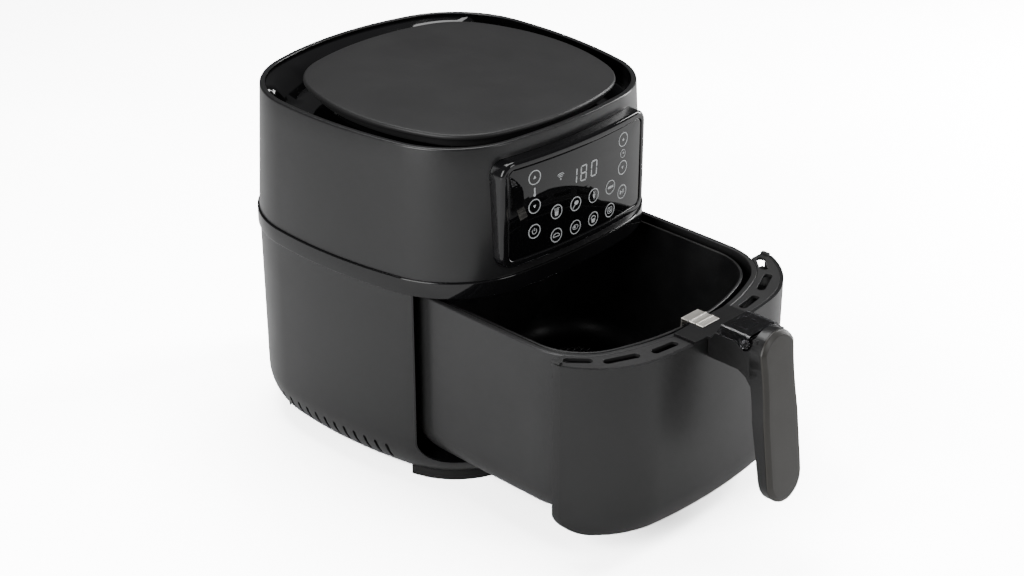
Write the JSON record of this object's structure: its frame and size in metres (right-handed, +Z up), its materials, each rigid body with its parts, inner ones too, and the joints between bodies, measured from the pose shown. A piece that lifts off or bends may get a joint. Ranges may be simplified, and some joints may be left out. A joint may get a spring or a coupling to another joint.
{
  "type": "air fryer",
  "caption": "Basket air fryer with a pull-out drawer, handle with a covered release button, touch panel and a hot-air chamber above the drawer.",
  "frame": {"origin": "on the table top, under the middle of the whole object with its drawer open as at rest", "axes": "+Z up, -Y to the front (the way the drawer opens), +X to the right for someone in front of it"},
  "size_m": [0.315, 0.556, 0.329],
  "materials": {
    "shell": "satin charcoal moulded plastic",
    "lid": "matte dark grey plastic",
    "gloss_black": "polished black plastic",
    "black_plastic": "moulded black plastic",
    "drawer_front": "satin charcoal moulded plastic",
    "rim": "fine matte grey plastic",
    "pan": "satin coated steel",
    "coating": "non-stick coated steel",
    "clip": "pale brushed steel",
    "steel": "plain steel sheet and bar",
    "element": "oxidised heating tube",
    "aluminium": "stamped aluminium",
    "board": "lacquered circuit board",
    "touch_glass": "polished black glass-like acrylic",
    "handle": "satin black plastic",
    "inlay": "warm grey satin inlay",
    "cover": "smoky clear plastic",
    "rubber": "black rubber"
  },
  "bodies": {
    "housing": {"lower_shell": "shell", "upper_shell": "shell", "trim_band": "gloss_black", "air_inlet_tray": "gloss_black", "top_plate": "lid", "base_plate": "black_plastic", "base_screws": "steel", "rubber_feet": "rubber", "drawer_liner": "black_plastic", "opening_frame": "gloss_black", "drawer_runners": "black_plastic", "support_deck": "steel", "heater_bowl": "steel", "heat_shield": "steel", "fan_guard": "steel", "heating_element": "element", "fan_motor": "steel", "motor_bracket": "steel", "motor_screws": "steel", "temperature_sensor": "steel", "thermal_cutout": "black_plastic", "exhaust_duct": "black_plastic", "exhaust_grille": "black_plastic", "panel_bezel": "gloss_black", "touch_glass": "touch_glass", "display_board": "board", "power_board": "board", "drawer_switch": "black_plastic", "cord_gland": "rubber"},
    "drawer": {"pan": "pan", "front_panel": "drawer_front", "rim_plate": "rim", "basket": "coating", "basket_mesh": "coating", "basket_pads": "rubber", "basket_clip": "clip", "handle_body": "handle", "grip_inlay": "inlay", "button_spring": "steel", "handle_screws": "steel"},
    "cover": {"button_cover": "cover", "hinge_pin": "steel"},
    "button": {"release_button": "black_plastic"},
    "fan": {"convection_fan": "aluminium", "motor_shaft": "steel", "cooling_fan": "black_plastic"}
  },
  "joints": [
    {"name": "drawer_slide", "type": "slide", "parent": "housing", "child": "drawer", "axis": [0, -1, 0], "range_m": [-0.1642, 0.125]},
    {"name": "cover_hinge", "type": "hinge", "parent": "drawer", "child": "cover", "pos_m": [0, -0.23744, 0.1985], "axis": [1, 0, 0], "range_deg": [0, 70]},
    {"name": "button_press", "type": "slide", "parent": "drawer", "child": "button", "axis": [0, 0, -1], "range_m": [0, 0.0025], "stiffness_N_per_m": 400, "springref_m": -0.002, "deforming": ["button_spring"]},
    {"name": "fan_spin", "type": "hinge", "parent": "housing", "child": "fan", "pos_m": [0, 0.12026, 0.23], "axis": [0, 0, 1], "continuous": true}
  ]
}
